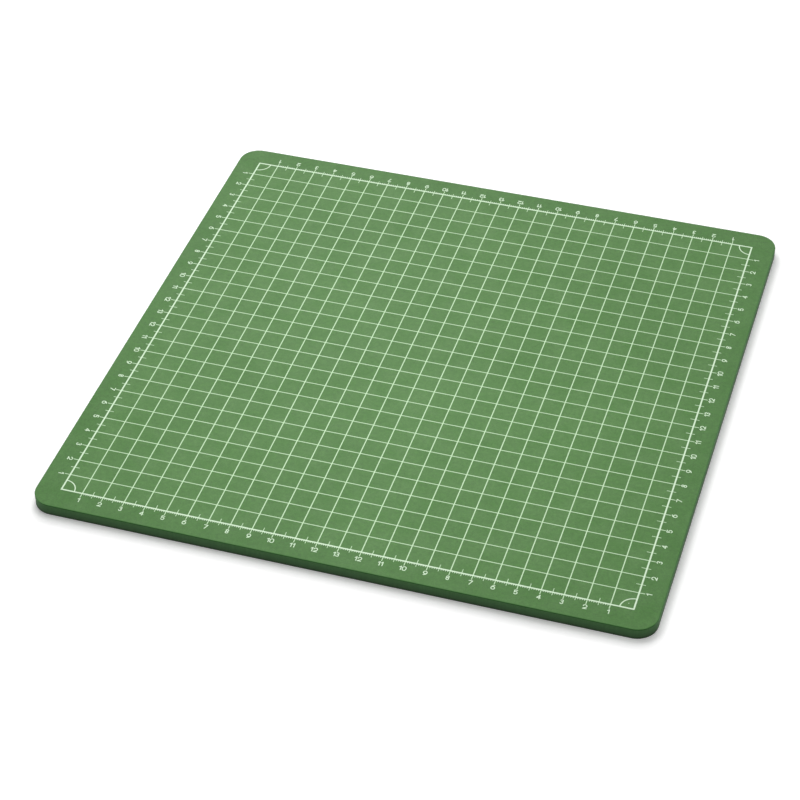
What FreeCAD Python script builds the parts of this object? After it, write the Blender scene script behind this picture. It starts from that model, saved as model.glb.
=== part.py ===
import FreeCAD, Part
import math
import os
import Sketcher
from FreeCAD import Placement, Rotation, Vector

# A thick self-healing cutting mat: five vinyl plies fused into one square slab with rounded corners,
# and a centimetre grid with its ruler scale screen-printed on the top face.
# Millimetres. The origin is the middle of the underside, +Z is up and the front edge faces -Y.

DRIVING_SIZES = {
    # Printed grid, which sets the size of the mat
    "cell_pitch": 10.0,
    "cell_count": 26,
    # Slab: plain margin from the middle of the border line to the edge, and the five plies
    "edge_margin": 11.4,
    "corner_radius": 9.75,
    "face_sheet_thickness": 0.5,
    "healing_layer_thickness": 1.5,
    "core_thickness": 1.6,
    "edge_rounding": 0.25,
    # Ink film, and the widths of its lines
    "ink_thickness": 0.05,
    "border_width": 0.72,
    "column_line_width": 0.48,
    "row_line_width": 0.42,
    # Ruler ticks, each measured from the side of the border line where it starts
    "centimetre_tick_width": 0.38,
    "centimetre_tick_length": 2.3,
    "half_tick_width": 0.3,
    "half_tick_outside": 1.45,
    "half_tick_inside": 2.0,
    "millimetre_tick_width": 0.3,
    "millimetre_tick_length": 0.5,
    "ticks_per_cell": 10,
    # Right-angle arcs round the corners of the border line, and the dot inside one of them
    "arc_radius": 6.1,
    "arc_width": 0.5,
    "dot_diameter": 0.4,
    "dot_inset": 2.8,
    # Numerals, beyond the ends of the centimetre ticks
    "numeral_height": 2.65,
    "numeral_width": 1.98,
    "numeral_stroke": 0.42,
    "numeral_gap": 0.35,
    "digit_spacing": 0.26,
}

HALF_PRINT = "(sizes.cell_count * sizes.cell_pitch / 2)"
MAT_SIDE = "(sizes.cell_count * sizes.cell_pitch + 2 * sizes.edge_margin)"
CORE_FACE = "(sizes.face_sheet_thickness + sizes.healing_layer_thickness)"
TOP_FACE = "(2 * sizes.face_sheet_thickness + 2 * sizes.healing_layer_thickness + sizes.core_thickness)"
BORDER_INSIDE = "(" + HALF_PRINT + " - sizes.border_width / 2)"
BORDER_OUTSIDE = "(" + HALF_PRINT + " + sizes.border_width / 2)"

doc = FreeCAD.newDocument("cutting_mat")
sheet = doc.addObject("Spreadsheet::Sheet", "sizes")
for row, (alias, value) in enumerate(DRIVING_SIZES.items(), start=1):
    sheet.set("A%d" % row, alias)
    sheet.set("B%d" % row, str(value))
    sheet.setAlias("B%d" % row, alias)
doc.recompute()

UP = Vector(0, 0, 1)
sub_parts = []


def number(expression):
    """The value of an expression on the sheet, in millimetres or as a count."""
    return float(sheet.evalExpression(expression))


def new_body(label, underside):
    """An empty sub-part whose own base plane lies at the given height."""
    body = doc.addObject("PartDesign::Body", label)
    body.Label = label
    body.setExpression("Placement.Base.z", underside)
    sub_parts.append(body)
    return body


def origin_feature(body, role):
    """One of the body's own base planes or axes."""
    for feature in body.Origin.OriginFeatures:
        if feature.Role == role:
            return feature
    raise ValueError("no origin feature " + role)


def new_sketch(body, name):
    """A sketch on the body's base plane."""
    sketch = body.newObject("Sketcher::SketchObject", name)
    sketch.AttachmentSupport = (origin_feature(body, "XY_Plane"), [""])
    sketch.MapMode = "FlatFace"
    return sketch


def drive(sketch, name, expression, kind, *points):
    """Add a dimension of the given kind to a sketch and tie it to the sheet."""
    index = sketch.addConstraint(Sketcher.Constraint(kind, *points, number(expression)))
    sketch.renameConstraint(index, name)
    sketch.setExpression("Constraints." + name, expression)


def pad(body, name, sketch, thickness):
    """Raise a sketch into a plate of the given thickness."""
    plate = body.newObject("PartDesign::Pad", name)
    plate.Profile = sketch
    plate.setExpression("Length", thickness)
    return plate


def draw_loop(sketch, corners):
    """Draw straight sides through the corners, joined end to end, upright and level by turns."""
    first = sketch.GeometryCount
    count = len(corners)
    for index in range(count):
        sketch.addGeometry(Part.LineSegment(corners[index], corners[(index + 1) % count]), False)
    for index in range(count):
        following = first + (index + 1) % count
        sketch.addConstraint(Sketcher.Constraint("Coincident", first + index, 2, following, 1))
        direction = "Horizontal" if index % 2 == 0 else "Vertical"
        sketch.addConstraint(Sketcher.Constraint(direction, first + index))
    return first


def draw_rectangle(sketch, name, left, bottom, width, height):
    """An upright rectangle, with its lower left corner placed from the sketch's origin."""
    low = Vector(number(left), number(bottom), 0)
    high = low + Vector(number(width), number(height), 0)
    first = draw_loop(sketch, [low, Vector(high.x, low.y, 0), high, Vector(low.x, high.y, 0)])
    drive(sketch, name + "_left", left, "DistanceX", -1, 1, first, 1)
    drive(sketch, name + "_bottom", bottom, "DistanceY", -1, 1, first, 1)
    drive(sketch, name + "_width", width, "DistanceX", first, 1, first, 2)
    drive(sketch, name + "_height", height, "DistanceY", first + 1, 1, first + 1, 2)


def draw_rounded_square(sketch, side, radius):
    """The outline of the mat: four straight sides and a tangent arc at each corner."""
    reach = number(side) / 2
    rounding = number(radius)
    straight = reach - rounding
    for index in range(4):
        turn = Rotation(UP, 90 * index)
        start = turn.multVec(Vector(-straight, -reach, 0))
        end = turn.multVec(Vector(straight, -reach, 0))
        sketch.addGeometry(Part.LineSegment(start, end), False)
    for index in range(4):
        centre = Rotation(UP, 90 * index).multVec(Vector(straight, -straight, 0))
        circle = Part.Circle(centre, UP, rounding)
        begin = math.radians(90 * index - 90)
        sketch.addGeometry(Part.ArcOfCircle(circle, begin, begin + math.pi / 2), False)
    for index in range(4):
        arc = 4 + index
        sketch.addConstraint(Sketcher.Constraint("Tangent", index, 2, arc, 1))
        sketch.addConstraint(Sketcher.Constraint("Tangent", arc, 2, (index + 1) % 4, 1))
        direction = "Horizontal" if index % 2 == 0 else "Vertical"
        sketch.addConstraint(Sketcher.Constraint(direction, index))
    for arc in (5, 6, 7):
        sketch.addConstraint(Sketcher.Constraint("Equal", 4, arc))
    sketch.addConstraint(Sketcher.Constraint("Symmetric", 4, 3, 6, 3, -1, 1))
    drive(sketch, "corner", radius, "Radius", 4)
    drive(sketch, "width", side, "DistanceX", 3, 1, 1, 1)
    drive(sketch, "depth", side, "DistanceY", 0, 1, 2, 1)


def make_ply(label, thickness, underside):
    """One sheet of the laminate, die-cut to the outline of the mat."""
    body = new_body(label, underside)
    outline = new_sketch(body, label + "_outline")
    draw_rounded_square(outline, MAT_SIDE, "sizes.corner_radius")
    return body, pad(body, label + "_sheet", outline, thickness)


def round_rim(body, sheet_pad, height):
    """Ease the sharp outer edge of a face sheet, at the given height of the sheet."""
    doc.recompute()
    rim = []
    for index, edge in enumerate(sheet_pad.Shape.Edges, start=1):
        if all(math.isclose(corner.Z, height, abs_tol=1e-6) for corner in edge.Vertexes):
            rim.append("Edge%d" % index)
    rounding = body.newObject("PartDesign::Fillet", body.Label + "_rim")
    rounding.Base = (sheet_pad, rim)
    rounding.setExpression("Radius", "min(sizes.edge_rounding; 0.9 * sizes.face_sheet_thickness)")


# The five plies, from the underside up. The two face sheets carry the eased edges.
bottom_sheet, bottom_pad = make_ply("bottom_face_sheet", "sizes.face_sheet_thickness", "0")
make_ply("lower_healing_layer", "sizes.healing_layer_thickness", "sizes.face_sheet_thickness")
make_ply("core_sheet", "sizes.core_thickness", CORE_FACE)
make_ply("upper_healing_layer", "sizes.healing_layer_thickness", CORE_FACE + " + sizes.core_thickness")
top_sheet, top_pad = make_ply("top_face_sheet", "sizes.face_sheet_thickness",
                              TOP_FACE + " - sizes.face_sheet_thickness")
round_rim(bottom_sheet, bottom_pad, 0.0)
round_rim(top_sheet, top_pad, number("sizes.face_sheet_thickness"))


def add_group(label, solids, turn):
    """A sub-part of many small solids of ink on the top face, turned about the middle of the mat."""
    group = doc.addObject("Part::Feature", label)
    group.Label = label
    group.Shape = Part.makeCompound(solids)
    group.Placement = Placement(Vector(), Rotation(UP, turn))
    group.setExpression("Placement.Base.z", TOP_FACE)
    sub_parts.append(group)


def make_border_line():
    """The wide line round the grid: four strokes that meet at the corners. The front and the back one have
    millimetre teeth on their outer side."""
    divisions = int(number("sizes.ticks_per_cell"))
    step = number("sizes.cell_pitch") / divisions
    half_tooth = number("sizes.millimetre_tick_width / 2")
    inside = number(BORDER_INSIDE)
    outside = number(BORDER_OUTSIDE)
    tip = outside + number("sizes.millimetre_tick_length")
    first_line = number("sizes.cell_pitch - " + HALF_PRINT)
    left_end = [Vector(-inside, -inside, 0), Vector(-outside, -outside, 0)]
    right_end = [Vector(outside, -outside, 0), Vector(inside, -inside, 0)]
    teeth = []
    for cell in range(int(number("sizes.cell_count")) - 2):
        for division in range(1, divisions):
            if 2 * division == divisions:
                continue
            middle = first_line + (cell * divisions + division) * step
            left, right = middle - half_tooth, middle + half_tooth
            teeth += [Vector(left, -outside, 0), Vector(left, -tip, 0),
                      Vector(right, -tip, 0), Vector(right, -outside, 0)]
    strokes = []
    for side, outer_edge in enumerate((teeth, [], teeth, [])):
        outline = left_end + outer_edge + right_end
        stroke = Part.Face(Part.makePolygon(outline + outline[:1])).extrude(UP * number("sizes.ink_thickness"))
        stroke.rotate(Vector(), UP, 90 * side)
        strokes.append(stroke)
    add_group("border_line", strokes, 0)


def make_column_lines():
    """The thin lines from front to back, each ending at the border line."""
    body = new_body("column_lines", TOP_FACE)
    stroke = new_sketch(body, "column_stroke")
    left = HALF_PRINT + " - sizes.cell_pitch - sizes.column_line_width / 2"
    draw_rectangle(stroke, "line", left, "-" + BORDER_INSIDE,
                   "sizes.column_line_width", "2 * " + BORDER_INSIDE)
    film = pad(body, "column_film", stroke, "sizes.ink_thickness")
    columns = body.newObject("PartDesign::LinearPattern", "columns_across")
    columns.Originals = [film]
    columns.Direction = (origin_feature(body, "X_Axis"), [""])
    columns.Reversed = True
    columns.setExpression("Length", "(sizes.cell_count - 2) * sizes.cell_pitch")
    columns.setExpression("Occurrences", "sizes.cell_count - 1")
    columns.Refine = False
    body.Tip = columns


def make_row_lines():
    """The thin lines from left to right, in pieces between the column lines, all in one film of ink."""
    count = int(number("sizes.cell_count"))
    pitch = number("sizes.cell_pitch")
    half_print = number(HALF_PRINT)
    edge = number(BORDER_INSIDE)
    width = number("sizes.row_line_width")
    half_column = number("sizes.column_line_width / 2")
    thickness = number("sizes.ink_thickness")
    middles = [index * pitch - half_print for index in range(1, count)]
    starts = [-edge] + [middle + half_column for middle in middles]
    ends = [middle - half_column for middle in middles] + [edge]
    pieces = []
    for middle in middles:
        for start, end in zip(starts, ends):
            pieces.append(Part.makeBox(end - start, width, thickness, Vector(start, middle - width / 2, 0)))
    add_group("row_lines", pieces, 0)


def repeat_round_border(body, stroke, count, length):
    """Repeat a stroke along the back side towards -X, and then on all four sides."""
    name = body.Label
    row_of_ticks = doc.addObject("PartDesign::LinearPattern", name + "_row")
    row_of_ticks.Direction = (origin_feature(body, "X_Axis"), [""])
    row_of_ticks.Reversed = True
    row_of_ticks.setExpression("Length", length)
    row_of_ticks.setExpression("Occurrences", count)
    four_sides = doc.addObject("PartDesign::PolarPattern", name + "_sides")
    four_sides.Axis = (origin_feature(body, "Z_Axis"), [""])
    four_sides.Angle = 360
    four_sides.Occurrences = 4
    repeats = body.newObject("PartDesign::MultiTransform", name + "_repeats")
    repeats.Originals = [stroke]
    repeats.Transformations = [row_of_ticks, four_sides]
    repeats.Refine = False
    body.Tip = repeats


def make_centimetre_ticks():
    """The grid lines' short ends outside the border line, one at each centimetre."""
    body = new_body("centimetre_ticks", TOP_FACE)
    stroke = new_sketch(body, "centimetre_stroke")
    left = HALF_PRINT + " - sizes.cell_pitch - sizes.centimetre_tick_width / 2"
    draw_rectangle(stroke, "outside", left, BORDER_OUTSIDE,
                   "sizes.centimetre_tick_width", "sizes.centimetre_tick_length")
    film = pad(body, "centimetre_film", stroke, "sizes.ink_thickness")
    repeat_round_border(body, film, "sizes.cell_count - 1", "(sizes.cell_count - 2) * sizes.cell_pitch")


def make_half_centimetre_ticks():
    """The thin ticks at the half centimetres, on both sides of the border line, none at the corners."""
    body = new_body("half_centimetre_ticks", TOP_FACE)
    stroke = new_sketch(body, "half_centimetre_strokes")
    left = HALF_PRINT + " - 1.5 * sizes.cell_pitch - sizes.half_tick_width / 2"
    draw_rectangle(stroke, "outside", left, BORDER_OUTSIDE,
                   "sizes.half_tick_width", "sizes.half_tick_outside")
    draw_rectangle(stroke, "inside", left, BORDER_INSIDE + " - sizes.half_tick_inside",
                   "sizes.half_tick_width", "sizes.half_tick_inside")
    film = pad(body, "half_centimetre_film", stroke, "sizes.ink_thickness")
    repeat_round_border(body, film, "sizes.cell_count - 2", "(sizes.cell_count - 3) * sizes.cell_pitch")


def make_corner_arcs():
    """The right-angle marks: a quarter ring about each corner of the border line, cut off by it."""
    body = new_body("corner_arcs", TOP_FACE)
    quarter = new_sketch(body, "quarter_ring")
    corner = number(HALF_PRINT)
    half_border = number("sizes.border_width / 2")
    radii = ("sizes.arc_radius + sizes.arc_width / 2", "sizes.arc_radius - sizes.arc_width / 2")
    for radius in radii:
        circle = Part.Circle(Vector(corner, corner, 0), UP, number(radius))
        trim = math.asin(half_border / number(radius))
        quarter.addGeometry(Part.ArcOfCircle(circle, math.pi + trim, 1.5 * math.pi - trim), False)
    outer, inner = quarter.Geometry
    quarter.addGeometry(Part.LineSegment(outer.StartPoint, inner.StartPoint), False)
    quarter.addGeometry(Part.LineSegment(outer.EndPoint, inner.EndPoint), False)
    for arc, line_end in ((0, 1), (1, 2)):
        quarter.addConstraint(Sketcher.Constraint("Coincident", arc, 1, 2, line_end))
        quarter.addConstraint(Sketcher.Constraint("Coincident", arc, 2, 3, line_end))
    quarter.addConstraint(Sketcher.Constraint("Coincident", 0, 3, 1, 3))
    drive(quarter, "corner_x", HALF_PRINT, "DistanceX", -1, 1, 0, 3)
    drive(quarter, "corner_y", HALF_PRINT, "DistanceY", -1, 1, 0, 3)
    for arc, radius in enumerate(radii):
        drive(quarter, "radius_%d" % arc, radius, "Radius", arc)
        drive(quarter, "start_%d" % arc, "sizes.border_width / 2", "DistanceY", arc, 1, arc, 3)
        drive(quarter, "end_%d" % arc, "sizes.border_width / 2", "DistanceX", arc, 2, arc, 3)
    film = pad(body, "arc_film", quarter, "sizes.ink_thickness")
    four_corners = body.newObject("PartDesign::PolarPattern", "arcs_at_corners")
    four_corners.Originals = [film]
    four_corners.Axis = (origin_feature(body, "Z_Axis"), [""])
    four_corners.Angle = 360
    four_corners.Occurrences = 4
    body.Tip = four_corners


def make_corner_dot():
    """The dot inside the right-angle arc of the front right corner."""
    dot = doc.addObject("Part::Cylinder", "corner_dot")
    dot.Label = "corner_dot"
    dot.setExpression("Radius", "sizes.dot_diameter / 2")
    dot.setExpression("Height", "sizes.ink_thickness")
    dot.setExpression("Placement.Base.x", HALF_PRINT + " - sizes.dot_inset")
    dot.setExpression("Placement.Base.y", "sizes.dot_inset - " + HALF_PRINT)
    dot.setExpression("Placement.Base.z", TOP_FACE)
    sub_parts.append(dot)


# Numerals: each digit is a pen line of even width with round ends. The points below are on the middle
# of the pen line, in a box that is one pen width smaller each way than the digit.
PEN = number("sizes.numeral_stroke")
WIDE = number("sizes.numeral_width") - PEN
TALL = number("sizes.numeral_height") - PEN


def at(across, up):
    """A point of the digit box, given in shares of its width and height."""
    return Vector(across * WIDE, up * TALL, 0)


def around(degrees):
    """The unit step from the middle of a round stroke towards the given angle."""
    return Vector(math.cos(math.radians(degrees)), math.sin(math.radians(degrees)), 0)


def straight(start, end):
    return Part.LineSegment(start, end).toShape()


def curve(start, middle, end):
    return Part.Arc(start, middle, end).toShape()


def bar(start, end):
    """The outline of a straight pen line."""
    along = (end - start).normalize() * (PEN / 2)
    aside = Vector(-along.y, along.x, 0)
    outline = [straight(start - aside, end - aside), curve(end - aside, end + along, end + aside),
               straight(end + aside, start + aside), curve(start + aside, start - along, start - aside)]
    return Part.Face(Part.Wire(outline))


def bent(*edges):
    """The outline of a pen line that follows the edges."""
    return Part.Face(Part.Wire(list(edges)).makeOffset2D(PEN / 2, 0, False, False, False))


def ring_face(sides):
    """The face between an outer and an inner closed wire."""
    return Part.makeFace(sides, "Part::FaceMakerBullseye")


def loop(*edges):
    """The outline of a pen line that closes on itself."""
    middle = Part.Wire(list(edges))
    return ring_face([middle.makeOffset2D(aside) for aside in (PEN / 2, -PEN / 2)])


def round_loop(centre, radius):
    """The outline of a pen line that follows a circle."""
    circles = [Part.Circle(centre, UP, radius + aside) for aside in (PEN / 2, -PEN / 2)]
    return ring_face([Part.Wire(circle.toShape()) for circle in circles])


def two_bowls():
    """The circles of an 8, the smaller one on top, as pairs of centre and radius."""
    upper = 0.24 * TALL
    lower = 0.5 * TALL - upper
    return (Vector(WIDE / 2, TALL - upper, 0), upper), (Vector(WIDE / 2, lower, 0), lower)


def zero():
    bend = WIDE / 2
    low, high = Vector(bend, bend, 0), Vector(bend, TALL - bend, 0)
    out, up = Vector(bend, 0, 0), Vector(0, bend, 0)
    return [loop(straight(low + out, high + out), curve(high + out, high + up, high - out),
                 straight(high - out, low - out), curve(low - out, low - up, low + out))]


def one():
    stem, flag_end = 0.42, 0.74
    return [bent(straight(at(0, flag_end), at(stem, 1)), straight(at(stem, 1), at(stem, 0)))]


def two():
    bend = WIDE / 2
    centre = Vector(bend, TALL - bend, 0)
    leave = math.degrees(math.atan2(centre.y, centre.x) + math.acos(bend / centre.Length)) + 180
    neck = centre + around(leave) * bend
    return [bent(curve(centre + around(180) * bend, centre + around(90) * bend, neck),
                 straight(neck, at(0, 0)), straight(at(0, 0), at(1, 0)))]


def three():
    (upper_centre, upper), (lower_centre, lower) = two_bowls()
    waist = lower_centre + around(90) * lower
    return [bent(curve(upper_centre + around(155) * upper, upper_centre + around(0) * upper, waist)),
            bent(curve(waist, lower_centre + around(0) * lower, lower_centre + around(205) * lower))]


def four():
    stem, crossbar = 0.74, 0.3
    return [bent(straight(at(stem, 0), at(stem, 1)), straight(at(stem, 1), at(0, crossbar))),
            bar(at(0, crossbar), at(1, crossbar))]


def five():
    bend = 0.32 * TALL
    centre = Vector(WIDE - bend, bend, 0)
    start = centre + around(150) * bend
    return [bent(straight(at(0.92, 1), at(0.16, 1)), straight(at(0.16, 1), start),
                 curve(start, centre + around(0) * bend, centre + around(210) * bend))]


def six():
    bend = WIDE / 2
    tip = at(0.84, 1)
    rise = TALL - bend
    sweep = (tip.x ** 2 + rise ** 2) / (2 * tip.x)
    turn = math.atan2(rise, sweep - tip.x) / 2
    belly = Vector(sweep - sweep * math.cos(turn), bend + sweep * math.sin(turn), 0)
    return [round_loop(Vector(bend, bend, 0), bend), bent(curve(Vector(0, bend, 0), belly, tip))]


def seven():
    return [bent(straight(at(0, 1), at(1, 1)), straight(at(1, 1), at(0.34, 0)))]


def eight():
    return [round_loop(centre, radius) for centre, radius in two_bowls()]


def nine():
    middle = Vector(WIDE / 2, TALL / 2, 0)
    turned = [face.copy() for face in six()]
    for face in turned:
        face.rotate(middle, UP, 180)
    return turned


def make_digit(strokes):
    """One digit as a solid, with its left side and its foot on the axes."""
    height = UP * number("sizes.ink_thickness")
    solids = [stroke.extrude(height) for stroke in strokes]
    digit = solids[0].fuse(solids[1:]).removeSplitter() if len(solids) > 1 else solids[0]
    digit.translate(Vector(-digit.BoundBox.XMin, -digit.BoundBox.YMin, 0))
    return digit


def make_numerals():
    """The numbers along each side, counted inwards from both corners, read from that side."""
    glyphs = (zero, one, two, three, four, five, six, seven, eight, nine)
    digits = [make_digit(glyph()) for glyph in glyphs]
    count = int(number("sizes.cell_count"))
    pitch = number("sizes.cell_pitch")
    spacing = number("sizes.digit_spacing")
    top = -number(BORDER_OUTSIDE + " + sizes.centimetre_tick_length + sizes.numeral_gap")
    foot = top - number("sizes.numeral_height")
    row_of_digits = []
    for line in range(1, count):
        label = [digits[int(character)] for character in str(min(line, count - line))]
        label_width = sum(digit.BoundBox.XLength for digit in label) + spacing * (len(label) - 1)
        left = line * pitch - number(HALF_PRINT) - label_width / 2
        for digit in label:
            placed = digit.copy()
            placed.translate(Vector(left, foot, 0))
            row_of_digits.append(placed)
            left += digit.BoundBox.XLength + spacing
    for quarter_turn, side in enumerate(("front", "right", "back", "left")):
        add_group(side + "_numerals", row_of_digits, 90 * quarter_turn)


make_border_line()
make_column_lines()
make_row_lines()
make_centimetre_ticks()
make_half_centimetre_ticks()
make_corner_arcs()
make_corner_dot()
make_numerals()

doc.recompute()
for item in doc.Objects:
    if "Invalid" in item.State or "Error" in item.State:
        raise RuntimeError("%s failed: %s" % (item.Label, item.State))
for piece in sub_parts:
    if piece.Shape.isNull() or not piece.Shape.isValid():
        raise RuntimeError(piece.Label + " has no valid shape")

os.makedirs("parts", exist_ok=True)
for piece in sub_parts:
    piece.Shape.exportStep(os.path.join("parts", piece.Label + ".step"))
    box = piece.Shape.BoundBox
    print("%-24s solids %4d  volume %10.3f  box %.2f x %.2f, z %.3f to %.3f" % (
        piece.Label, len(piece.Shape.Solids), piece.Shape.Volume,
        box.XLength, box.YLength, box.ZMin, box.ZMax))
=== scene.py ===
import math
import bpy
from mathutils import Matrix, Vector


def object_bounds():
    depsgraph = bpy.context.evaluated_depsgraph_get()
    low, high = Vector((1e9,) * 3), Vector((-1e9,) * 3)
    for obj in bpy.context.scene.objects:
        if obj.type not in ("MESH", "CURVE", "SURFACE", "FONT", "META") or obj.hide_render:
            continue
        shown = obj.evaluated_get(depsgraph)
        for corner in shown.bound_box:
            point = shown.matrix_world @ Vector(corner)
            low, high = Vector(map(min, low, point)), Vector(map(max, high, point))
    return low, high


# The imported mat: five fused vinyl plies and the ink on the top one, each a node of its own.
# Every solid has its final shape, so the sections below give each piece its finish.
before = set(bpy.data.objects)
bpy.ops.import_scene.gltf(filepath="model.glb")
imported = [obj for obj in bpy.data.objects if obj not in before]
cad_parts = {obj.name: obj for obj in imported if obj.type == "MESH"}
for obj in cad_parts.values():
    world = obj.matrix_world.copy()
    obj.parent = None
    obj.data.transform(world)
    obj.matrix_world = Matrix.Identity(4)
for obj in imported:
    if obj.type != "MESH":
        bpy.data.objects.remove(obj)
mat_box = [list(corner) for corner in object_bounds()]


# Core sheet: the stiff vinyl sheet in the middle of the stack, which keeps the mat flat and stops the
# blade. The whole stack is die-cut at once, so its side shows fine upright blade marks, and painted shade
# darkens the side towards its foot by the table.
CORE_DARK = (0.080, 0.205, 0.074)
CORE_LIGHT = (0.094, 0.238, 0.086)
BLADE_MARK_WIDTH = 0.0006
BLADE_MARK_STRETCH = (1, 1, 0.04)
BLADE_MARK_DEPTH = 0.00006
# Painted shade: the cut sides darken towards their foot, standing in for the shade by the table.
FOOT_SHADE = (0.033, 0.051, 0.033)
FOOT_SHADE_HEIGHT = 0.005
UNSHADED_BY_HEIGHT = ((0.0, 0.12), (0.22, 0.36), (0.42, 0.70), (0.7, 0.87), (1.0, 0.97))
CUT_GRAIN_SIZE = 0.00035
CUT_ROUGHNESS = (0.62, 0.78)
CUT_GLOSS = 0.3


def new_finish(name):
    """An empty node material with its surface shader."""
    finish = bpy.data.materials.new(name)
    finish.use_nodes = True
    nodes = finish.node_tree.nodes
    nodes.clear()
    output = nodes.new("ShaderNodeOutputMaterial")
    shader = nodes.new("ShaderNodeBsdfPrincipled")
    finish.node_tree.links.new(shader.outputs["BSDF"], output.inputs["Surface"])
    return finish, shader


def place_on_mat(finish, stretch=(1, 1, 1)):
    """The place in metres from the middle of the mat, squeezed along each axis by the given factors."""
    tree = finish.node_tree
    place = tree.nodes.new("ShaderNodeTexCoord")
    squeeze = tree.nodes.new("ShaderNodeMapping")
    squeeze.inputs["Scale"].default_value = stretch
    tree.links.new(place.outputs["Object"], squeeze.inputs["Vector"])
    return squeeze.outputs["Vector"]


def spread(finish, value, low, high, start, end):
    """A value between low and high carried over to the range from start to end."""
    tree = finish.node_tree
    carry = tree.nodes.new("ShaderNodeMapRange")
    carry.inputs["From Min"].default_value = low
    carry.inputs["From Max"].default_value = high
    carry.inputs["To Min"].default_value = start
    carry.inputs["To Max"].default_value = end
    tree.links.new(value, carry.inputs["Value"])
    return carry.outputs["Result"]


def grain(finish, place, size, detail):
    """Even noise from none to one, with spots of about the given size in metres."""
    tree = finish.node_tree
    noise = tree.nodes.new("ShaderNodeTexNoise")
    noise.inputs["Scale"].default_value = 1 / size
    noise.inputs["Detail"].default_value = detail
    tree.links.new(place, noise.inputs["Vector"])
    usual_low, usual_high = 0.3, 0.7
    return spread(finish, noise.outputs["Fac"], usual_low, usual_high, 0, 1)


def between(finish, share, dark, light):
    """A colour between two others, each a plain colour or the outcome of other nodes."""
    tree = finish.node_tree
    mix = tree.nodes.new("ShaderNodeMix")
    mix.data_type = "RGBA"
    for socket, colour in ((mix.inputs["A"], dark), (mix.inputs["B"], light)):
        if isinstance(colour, tuple):
            socket.default_value = (*colour, 1)
        else:
            tree.links.new(colour, socket)
    tree.links.new(share, mix.inputs["Factor"])
    return mix.outputs["Result"]


def axis_value(finish, vector, axis):
    """One part of a vector."""
    tree = finish.node_tree
    parts = tree.nodes.new("ShaderNodeSeparateXYZ")
    tree.links.new(vector, parts.inputs["Vector"])
    return parts.outputs[axis]


def dress(finish, shader, colour, rough):
    """Gives a surface its colour and roughness."""
    finish.node_tree.links.new(colour, shader.inputs["Base Color"])
    finish.node_tree.links.new(rough, shader.inputs["Roughness"])


def relief(finish, shader, height, depth, strength):
    """A fine relief of the given depth in metres."""
    tree = finish.node_tree
    bump = tree.nodes.new("ShaderNodeBump")
    bump.inputs["Distance"].default_value = depth
    bump.inputs["Strength"].default_value = strength
    tree.links.new(height, bump.inputs["Height"])
    tree.links.new(bump.outputs["Normal"], shader.inputs["Normal"])


def blade_marks(finish):
    """The height of the upright marks that the die leaves on a cut side."""
    return grain(finish, place_on_mat(finish, BLADE_MARK_STRETCH), BLADE_MARK_WIDTH, detail=3)


def unshaded_share(finish):
    """How much of the vinyl shows through the painted shade on the side, from the table up."""
    tree = finish.node_tree
    climb = spread(finish, axis_value(finish, place_on_mat(finish), "Z"), 0, FOOT_SHADE_HEIGHT, 0, 1)
    ramp = tree.nodes.new("ShaderNodeValToRGB")
    while len(ramp.color_ramp.elements) < len(UNSHADED_BY_HEIGHT):
        ramp.color_ramp.elements.new(0.5)
    for element, (height, share) in zip(ramp.color_ramp.elements, UNSHADED_BY_HEIGHT):
        element.position = height
        element.color = (share, share, share, 1)
    tree.links.new(climb, ramp.inputs["Fac"])
    return ramp.outputs["Color"]


def cut_side(finish, marks, dark, light):
    """The colour of a die-cut vinyl side, darkened by painted shade towards its foot."""
    return between(finish, unshaded_share(finish), FOOT_SHADE, between(finish, marks, dark, light))


def cut_side_finish(name, dark, light):
    """A ply that shows only its die-cut side."""
    finish, shader = new_finish(name)
    marks = blade_marks(finish)
    fine = grain(finish, place_on_mat(finish), CUT_GRAIN_SIZE, detail=2)
    dress(finish, shader, cut_side(finish, marks, dark, light), spread(finish, fine, 0, 1, *CUT_ROUGHNESS))
    shader.inputs["Specular IOR Level"].default_value = CUT_GLOSS
    relief(finish, shader, marks, BLADE_MARK_DEPTH, strength=0.35)
    return finish


core_vinyl = cut_side_finish("core_vinyl_side", CORE_DARK, CORE_LIGHT)
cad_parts["core_sheet"].material_slots[0].material = core_vinyl


# Healing layers: the two soft vinyl sheets on either side of the core, which close again after a cut.
# They are calendered and fused to the core under heat, and only their die-cut side shows, a shade
# lighter than the core.
HEALING_DARK = (0.084, 0.218, 0.073)
HEALING_LIGHT = (0.099, 0.252, 0.086)
healing_vinyl = cut_side_finish("healing_vinyl_side", HEALING_DARK, HEALING_LIGHT)
for layer in ("lower_healing_layer", "upper_healing_layer"):
    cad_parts[layer].material_slots[0].material = healing_vinyl


# Face sheets: the thin hard-wearing vinyl skins on top and underneath, embossed with a fine matte grain
# by the rollers that made them. Their rim and side are painted darker than the cut side of the other plies,
# a painted shade along the eased edge, and the margin round the printed field of the top sheet is painted
# darker, a painted shade for the light falling off towards the edges.
MAT_HALF = mat_box[1][0]
CORNER_RADIUS = 0.00975
PRINT_HALF = 0.130
MARGIN_SHADE_EDGE = 0.001
FACE_DARK = (0.0765, 0.1925, 0.0496)
FACE_LIGHT = (0.0842, 0.2077, 0.0549)
DRIFT_SIZE = 0.06
MOTTLE_COOL = (0.880, 0.948, 0.835)
MOTTLE_WARM = (1.120, 1.052, 1.165)
MOTTLE_SIZE = 0.009
GRAIN_SIZE = 0.0006
GRAIN_SHADE = (0.87, 1.13)
GRAIN_DEPTH = 0.00005
PEBBLE_SIZE = 0.0018
PEBBLE_SHADE = (0.915, 1.085)
STREAK_WIDTH = 0.0025
STREAK_STRETCH = (1, 0.03, 1)
STREAK_SHADE = (0.99, 1.01)
NO_TINT = (1, 1, 1)
# Painted shade: the margin outside the printed field is darker, standing in for the light falling off
# towards the edges.
MARGIN_SHADE = (0.855, 0.911, 0.838)
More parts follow.
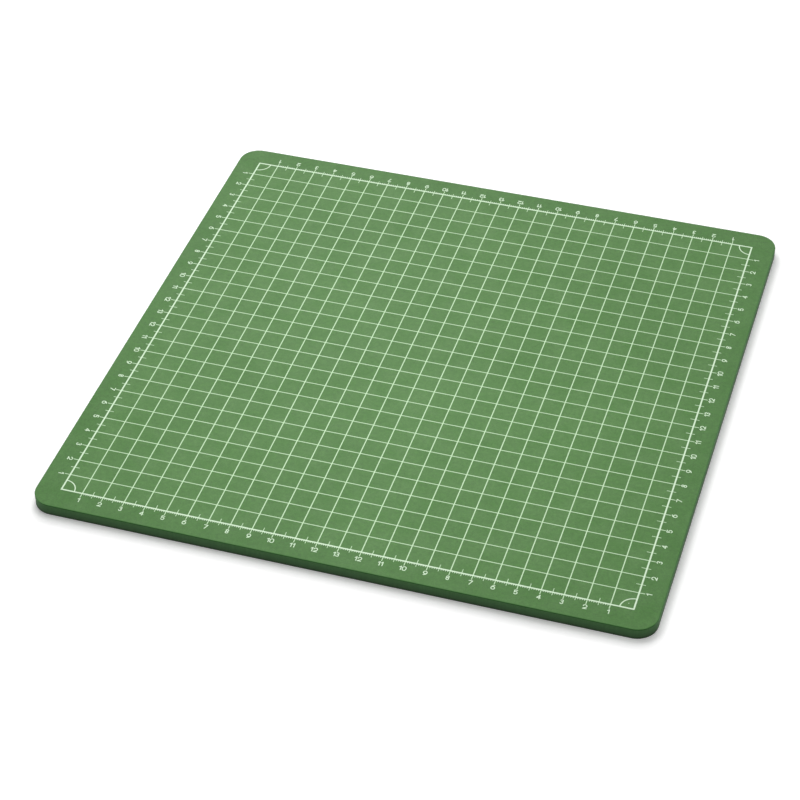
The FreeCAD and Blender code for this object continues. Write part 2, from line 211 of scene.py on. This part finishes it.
# Painted shade: the rim and side of the face sheets are darker than the cut side of the other plies.
SHADED_RIM_DARK = (0.042, 0.156, 0.034)
SHADED_RIM_LIGHT = (0.051, 0.180, 0.042)
RIM_FROM, RIM_TO = 0.0002, 0.0008
RIM_SHADE_SHARE = 0.45
SIDE_TILT, FACE_TILT = 0.55, 0.95
FACE_ROUGHNESS = (0.40, 0.52)
FACE_GLOSS = 0.11


def figure(finish, operation, first, second):
    """Two values joined by a step of arithmetic, where either may be a plain number."""
    tree = finish.node_tree
    step = tree.nodes.new("ShaderNodeMath")
    step.operation = operation
    for socket, value in zip(step.inputs, (first, second)):
        if isinstance(value, (int, float)):
            socket.default_value = value
        else:
            tree.links.new(value, socket)
    return step.outputs["Value"]


def measure(finish, operation, vector, other):
    """A step of vector arithmetic with a plain vector."""
    tree = finish.node_tree
    step = tree.nodes.new("ShaderNodeVectorMath")
    step.operation = operation
    tree.links.new(vector, step.inputs[0])
    step.inputs[1].default_value = other
    return step


def darken(finish, colour, share):
    """A colour multiplied by a share of light."""
    tree = finish.node_tree
    step = tree.nodes.new("ShaderNodeVectorMath")
    step.operation = "SCALE"
    tree.links.new(colour, step.inputs[0])
    tree.links.new(share, step.inputs["Scale"])
    return step.outputs["Vector"]


def stain(finish, colour, tint):
    """A colour tinted by another one."""
    tree = finish.node_tree
    step = tree.nodes.new("ShaderNodeVectorMath")
    step.operation = "MULTIPLY"
    tree.links.new(colour, step.inputs[0])
    tree.links.new(tint, step.inputs[1])
    return step.outputs["Vector"]


def larger_side(finish, vector):
    """The larger of a vector's two level parts."""
    return figure(finish, "MAXIMUM", axis_value(finish, vector, "X"), axis_value(finish, vector, "Y"))


def from_middle(finish, place):
    """How far a place lies from the middle of the mat along each axis."""
    return measure(finish, "ABSOLUTE", place, (0, 0, 0)).outputs["Vector"]


def from_edge(finish, place):
    """How far a place lies inside the rounded outline of the mat, in metres."""
    straight = MAT_HALF - CORNER_RADIUS
    away = from_middle(finish, place)
    away = measure(finish, "SUBTRACT", away, (straight, straight, 0)).outputs["Vector"]
    away = measure(finish, "MULTIPLY", away, (1, 1, 0)).outputs["Vector"]
    corner_part = measure(finish, "MAXIMUM", away, (0, 0, 0)).outputs["Vector"]
    corner_reach = measure(finish, "LENGTH", corner_part, (0, 0, 0)).outputs["Value"]
    side_reach = figure(finish, "MINIMUM", larger_side(finish, away), 0)
    return figure(finish, "SUBTRACT", CORNER_RADIUS, figure(finish, "ADD", corner_reach, side_reach))


def uprightness(finish):
    """One on the side of a sheet and none on its face."""
    surface = finish.node_tree.nodes.new("ShaderNodeNewGeometry")
    tilt = figure(finish, "ABSOLUTE", axis_value(finish, surface.outputs["True Normal"], "Z"), 0)
    return spread(finish, tilt, SIDE_TILT, FACE_TILT, 1, 0)


def face_finish(name, margin_shade):
    """Matte green vinyl: embossed grain and pebble, roller streaks, soft blotches, painted shade on the rim
    and side, and the given painted shade on the margin.
    """
    finish, shader = new_finish(name)
    place = place_on_mat(finish)
    fine = grain(finish, place, GRAIN_SIZE, detail=3)
    pebble = grain(finish, place, PEBBLE_SIZE, detail=2)
    mottle = grain(finish, place, MOTTLE_SIZE, detail=3)
    drift = grain(finish, place, DRIFT_SIZE, detail=2)
    streak = grain(finish, place_on_mat(finish, STREAK_STRETCH), STREAK_WIDTH, detail=2)
    colour = between(finish, drift, FACE_DARK, FACE_LIGHT)
    colour = stain(finish, colour, between(finish, mottle, MOTTLE_COOL, MOTTLE_WARM))
    for texture, shade in ((fine, GRAIN_SHADE), (pebble, PEBBLE_SHADE), (streak, STREAK_SHADE)):
        colour = darken(finish, colour, spread(finish, texture, 0, 1, *shade))
    # painted shade on the margin outside the printed field
    ring = larger_side(finish, from_middle(finish, place))
    shaded_margin = spread(finish, ring, PRINT_HALF - MARGIN_SHADE_EDGE, PRINT_HALF + MARGIN_SHADE_EDGE, 0, 1)
    colour = stain(finish, colour, between(finish, shaded_margin, NO_TINT, margin_shade))
    # painted shade along the rim and on the side
    rim = spread(finish, from_edge(finish, place), RIM_FROM, RIM_TO, RIM_SHADE_SHARE, 0)
    shaded_rim_or_side = figure(finish, "MAXIMUM", rim, uprightness(finish))
    side = cut_side(finish, blade_marks(finish), SHADED_RIM_DARK, SHADED_RIM_LIGHT)
    colour = between(finish, shaded_rim_or_side, colour, side)
    dress(finish, shader, colour, spread(finish, fine, 0, 1, *FACE_ROUGHNESS))
    shader.inputs["Specular IOR Level"].default_value = FACE_GLOSS
    relief(finish, shader, fine, GRAIN_DEPTH, strength=0.5)
    return finish


printed_face = face_finish("printed_face_vinyl", MARGIN_SHADE)
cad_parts["top_face_sheet"].material_slots[0].material = printed_face
plain_face = face_finish("plain_face_vinyl", NO_TINT)
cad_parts["bottom_face_sheet"].material_slots[0].material = plain_face


# Border line, corner arcs, dot and numerals: pale ink squeezed through the open parts of a screen on to the
# top sheet. These broad shapes carry the full load of ink, which still sinks a little into the grain.
FULL_INK_SUNK = (0.59, 0.775, 0.545)
FULL_INK_PROUD = (0.68, 0.865, 0.635)
INK_GRAIN_SIZE = 0.0004
INK_GRAIN_DEPTH = 0.00003
INK_ROUGHNESS = (0.6, 0.48)
INK_GLOSS = 0.3


def ink_finish(name, sunk, proud):
    """Pale ink that covers unevenly where it sank into the grain of the vinyl."""
    finish, shader = new_finish(name)
    cover = grain(finish, place_on_mat(finish), INK_GRAIN_SIZE, detail=3)
    dress(finish, shader, between(finish, cover, sunk, proud), spread(finish, cover, 0, 1, *INK_ROUGHNESS))
    shader.inputs["Specular IOR Level"].default_value = INK_GLOSS
    relief(finish, shader, cover, INK_GRAIN_DEPTH, strength=0.25)
    return finish


full_ink = ink_finish("full_print_ink", FULL_INK_SUNK, FULL_INK_PROUD)
for printed in ("border_line", "corner_arcs", "corner_dot", "front_numerals", "right_numerals",
                "back_numerals", "left_numerals"):
    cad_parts[printed].material_slots[0].material = full_ink


# Grid lines and ruler ticks: the finest lines of the same print. The narrow slits of the screen let less
# ink through, so more of the green shows in them.
FINE_INK_SUNK = (0.499, 0.714, 0.440)
FINE_INK_PROUD = (0.577, 0.797, 0.520)
fine_ink = ink_finish("fine_print_ink", FINE_INK_SUNK, FINE_INK_PROUD)
for printed in ("column_lines", "row_lines", "centimetre_ticks", "half_centimetre_ticks"):
    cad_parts[printed].material_slots[0].material = fine_ink


# Table: a plain white sweep that the mat lies on. It keeps the mat's shadow, lightened by a painted glow,
# and looks white, and throws little of its light back at the sides of the mat.
FLOOR_REACH = 6
FLOOR_DROP = 0.00005
FLOOR_GREY = 0.25
GLOW_MIDDLE = (-0.035, 0.035, 0)
GLOW_FROM, GLOW_TO = 0.22, 0.42
NEAR_GLOW, FAR_GLOW = 0.19, 0.72
floor_mesh = bpy.data.meshes.new("table")
floor_corners = ((-1, -1), (1, -1), (1, 1), (-1, 1))
floor_mesh.from_pydata(
    [(x * FLOOR_REACH, y * FLOOR_REACH, -FLOOR_DROP) for x, y in floor_corners], [], [(0, 1, 2, 3)])
floor = bpy.data.objects.new("table", floor_mesh)
bpy.context.scene.collection.objects.link(floor)


def grey_shader(owner, kind, level):
    """A shader of one even grey, from none for black to one for white."""
    shader = owner.node_tree.nodes.new(kind)
    shader.inputs["Color"].default_value = (level, level, level, 1)
    return shader


def seen_or_thrown(owner, seen, thrown):
    """One shader for the camera and for reflections, and another for light that is thrown back."""
    tree = owner.node_tree
    path = tree.nodes.new("ShaderNodeLightPath")
    share = path.outputs["Is Camera Ray"]
    for kind in ("Is Glossy Ray", "Is Transmission Ray"):
        share = figure(owner, "MAXIMUM", share, path.outputs[kind])
    mix = tree.nodes.new("ShaderNodeMixShader")
    tree.links.new(share, mix.inputs["Fac"])
    tree.links.new(thrown, mix.inputs[1])
    tree.links.new(seen, mix.inputs[2])
    return mix.outputs["Shader"]


white_sweep = bpy.data.materials.new("white_sweep")
white_sweep.use_nodes = True
sweep_tree = white_sweep.node_tree
sweep_tree.nodes.clear()
# Painted light: the glow seen by the camera lifts the mat's shadow near the mat and grows with distance;
# its middle sits towards the back left, which lightens the shadow round the front right corner.
floor_distance = measure(white_sweep, "DISTANCE", place_on_mat(white_sweep), GLOW_MIDDLE).outputs["Value"]
glow = spread(white_sweep, floor_distance, GLOW_FROM, GLOW_TO, NEAR_GLOW, FAR_GLOW)
seen_glow = grey_shader(white_sweep, "ShaderNodeEmission", 1)
sweep_tree.links.new(glow, seen_glow.inputs["Strength"])
seen_white = grey_shader(white_sweep, "ShaderNodeBsdfDiffuse", 1)
seen_floor = sweep_tree.nodes.new("ShaderNodeAddShader")
sweep_tree.links.new(seen_white.outputs["BSDF"], seen_floor.inputs[0])
sweep_tree.links.new(seen_glow.outputs["Emission"], seen_floor.inputs[1])
thrown_grey = grey_shader(white_sweep, "ShaderNodeBsdfDiffuse", FLOOR_GREY)
sweep_surface = seen_or_thrown(white_sweep, seen_floor.outputs["Shader"], thrown_grey.outputs["BSDF"])
sweep_output = sweep_tree.nodes.new("ShaderNodeOutputMaterial")
sweep_tree.links.new(sweep_surface, sweep_output.inputs["Surface"])
floor.data.materials.append(white_sweep)


# Studio light: a wide soft lamp far behind the mat, a small soft lamp above its front half, a small low
# lamp behind it that glances off the face as a soft sheen, and an even grey surround that shows white to
# the camera.
SURROUND_LIGHT = 0.30
surround = bpy.data.worlds.new("studio")
bpy.context.scene.world = surround
surround.use_nodes = True
surround_tree = surround.node_tree
surround_tree.nodes.clear()
seen_wall = grey_shader(surround, "ShaderNodeBackground", 1)
even_light = grey_shader(surround, "ShaderNodeBackground", 1)
even_light.inputs["Strength"].default_value = SURROUND_LIGHT
surround_shade = seen_or_thrown(surround, seen_wall.outputs["Background"], even_light.outputs["Background"])
surround_output = surround_tree.nodes.new("ShaderNodeOutputWorld")
surround_tree.links.new(surround_shade, surround_output.inputs["Surface"])


def add_lamp(name, place, side, power):
    """A square soft lamp that looks at the middle of the mat."""
    lamp_data = bpy.data.lights.new(name, "AREA")
    lamp_data.shape = "SQUARE"
    lamp_data.size = side
    lamp_data.energy = power
    lamp = bpy.data.objects.new(name, lamp_data)
    lamp.location = place
    lamp.rotation_euler = (-Vector(place)).to_track_quat("-Z", "Y").to_euler()
    bpy.context.scene.collection.objects.link(lamp)


add_lamp("back_lamp", place=(-0.81, 2.42, 3.18), side=3.30, power=115)
add_lamp("top_lamp", place=(-0.026, -0.081, 0.260), side=0.157, power=0.176)
add_lamp("sheen_lamp", place=(-0.225, 0.476, 0.460), side=0.25, power=0.99)


# Camera: a long lens from the front and a little to the right, about forty degrees above the table. It
# stands over a metre away, so the mat narrows only a little towards its back edge.
CAMERA_PLACE = (0.25093, -0.81789, 0.72378)
CAMERA_TURN = (49.0626, 0.7542, 17.2479)
CAMERA_LENS = 106.73
SENSOR_WIDTH = 36
NEAREST_SEEN = 0.01
camera_data = bpy.data.cameras.new("camera")
camera_data.sensor_width = SENSOR_WIDTH
camera_data.lens = CAMERA_LENS
camera_data.clip_start = NEAREST_SEEN
camera = bpy.data.objects.new("camera", camera_data)
camera.location = CAMERA_PLACE
camera.rotation_euler = [math.radians(angle) for angle in CAMERA_TURN]
bpy.context.scene.collection.objects.link(camera)
bpy.context.scene.camera = camera
bpy.context.scene.view_settings.view_transform = "Standard"
